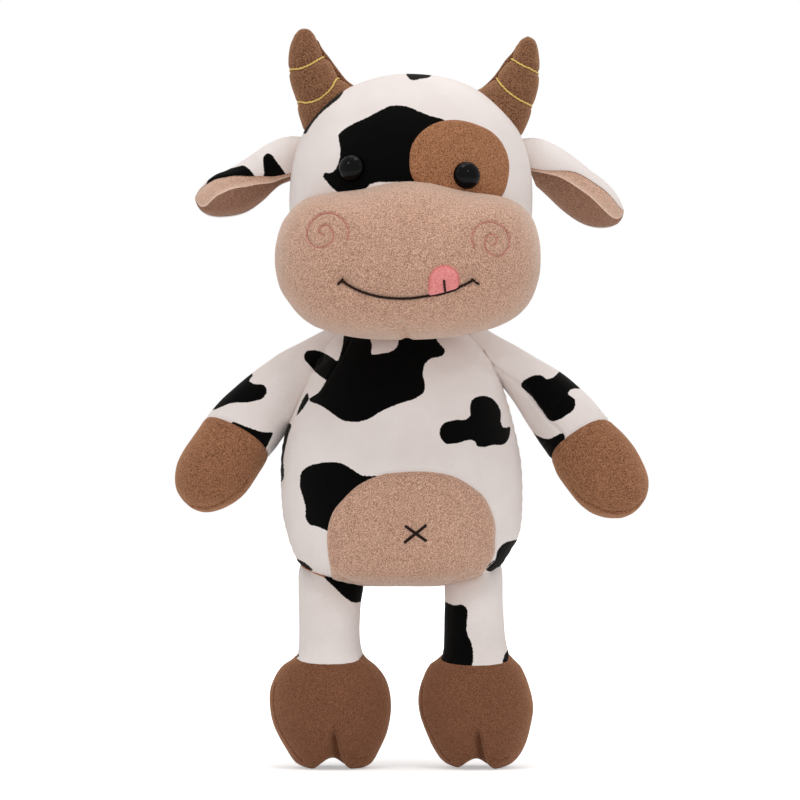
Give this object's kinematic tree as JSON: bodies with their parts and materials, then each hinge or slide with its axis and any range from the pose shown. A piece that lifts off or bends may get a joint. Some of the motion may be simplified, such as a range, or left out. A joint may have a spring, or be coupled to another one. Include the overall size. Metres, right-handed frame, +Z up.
{
  "type": "plush cow",
  "caption": "Standing stuffed toy cow with a wide soft muzzle, sewn face, short horns, folded ears, round hands and cloven hooves that turn at their seams.",
  "frame": {"origin": "middle of the outline on the floor between the hooves", "axes": "+Z up, the face looks along -Y, +X towards the left hand of the cow"},
  "size_m": [0.2976, 0.179, 0.4451],
  "materials": {
    "white_plush": "long soft pile with sewn-in black spots",
    "tan_fleece": "short fleece",
    "brown_fleece": "short fleece",
    "hoof_plush": "dense dark plush",
    "hand_plush": "dense plush",
    "eye_plastic": "glossy black moulding",
    "washer_plastic": "natural moulding",
    "filling_fibre": "loose polyester fibre",
    "tongue_felt": "pressed felt",
    "dark_thread": "twisted thread",
    "pink_thread": "twisted thread",
    "gold_thread": "twisted metallic thread"
  },
  "bodies": {
    "torso": {"body_cover": "white_plush", "body_filling": "filling_fibre", "belly_patch": "tan_fleece", "navel_stitch": "dark_thread"},
    "neck": {"neck_filling": "filling_fibre"},
    "head": {"head_cover": "white_plush", "head_filling": "filling_fibre", "muzzle_cover": "tan_fleece", "muzzle_filling": "filling_fibre", "eye_patch": "brown_fleece", "smile_stitch": "dark_thread", "tongue": "tongue_felt", "tongue_stitch": "dark_thread", "eye_right": "eye_plastic", "eye_right_washer": "washer_plastic", "nostril_right_stitch": "pink_thread", "horn_right_cover": "brown_fleece", "horn_right_filling": "filling_fibre", "horn_right_band_1": "gold_thread", "horn_right_band_2": "gold_thread", "eye_left": "eye_plastic", "eye_left_washer": "washer_plastic", "nostril_left_stitch": "pink_thread", "horn_left_cover": "brown_fleece", "horn_left_filling": "filling_fibre", "horn_left_band_1": "gold_thread", "horn_left_band_2": "gold_thread"},
    "ear_right": {"ear_right_outer": "white_plush", "ear_right_inner": "brown_fleece"},
    "arm_right": {"arm_right_cover": "white_plush", "hand_right_cover": "hand_plush", "arm_right_filling": "filling_fibre"},
    "leg_right": {"leg_right_cover": "white_plush", "hoof_right_cover": "hoof_plush", "leg_right_filling": "filling_fibre"},
    "ear_left": {"ear_left_outer": "white_plush", "ear_left_inner": "brown_fleece"},
    "arm_left": {"arm_left_cover": "white_plush", "hand_left_cover": "hand_plush", "arm_left_filling": "filling_fibre"},
    "leg_left": {"leg_left_cover": "white_plush", "hoof_left_cover": "hoof_plush", "leg_left_filling": "filling_fibre"},
    "tail": {"tail_cord": "white_plush", "tail_tuft": "brown_fleece"}
  },
  "joints": [
    {"name": "neck_turn", "type": "hinge", "parent": "torso", "child": "neck", "pos_m": [-0.00389, 0.02082, 0.222], "axis": [0, 0, 1], "range_deg": [-15, 15]},
    {"name": "head_nod", "type": "hinge", "parent": "neck", "child": "head", "pos_m": [-0.00389, 0.02082, 0.222], "axis": [1, 0, 0], "range_deg": [-15, 10]},
    {"name": "ear_right_flap", "type": "hinge", "parent": "head", "child": "ear_right", "pos_m": [-0.06992, 0.01482, 0.3684], "axis": [0.3057, 0, 0.9521], "range_deg": [-22, 22], "stiffness_Nm_per_rad": 0.01},
    {"name": "ear_left_flap", "type": "hinge", "parent": "head", "child": "ear_left", "pos_m": [0.07212, 0.01482, 0.36145], "axis": [-0.2113, 0, 0.9774], "range_deg": [-22, 22], "stiffness_Nm_per_rad": 0.01},
    {"name": "arm_right_raise", "type": "hinge", "parent": "torso", "child": "arm_right", "pos_m": [-0.05791, 0.02082, 0.241], "axis": [0, 1, 0], "range_deg": [-8, 35]},
    {"name": "arm_left_raise", "type": "hinge", "parent": "torso", "child": "arm_left", "pos_m": [0.05013, 0.02082, 0.241], "axis": [0, -1, 0], "range_deg": [-8, 35]},
    {"name": "leg_right_swing", "type": "hinge", "parent": "torso", "child": "leg_right", "pos_m": [-0.04739, 0.00282, 0.112], "axis": [1, 0, 0], "range_deg": [-70, 15]},
    {"name": "leg_left_swing", "type": "hinge", "parent": "torso", "child": "leg_left", "pos_m": [0.03962, 0.00282, 0.112], "axis": [1, 0, 0], "range_deg": [-70, 15]},
    {"name": "tail_swing", "type": "hinge", "parent": "torso", "child": "tail", "pos_m": [-0.00389, 0.0828, 0.166], "axis": [1, 0, 0], "range_deg": [-4, 75]}
  ]
}
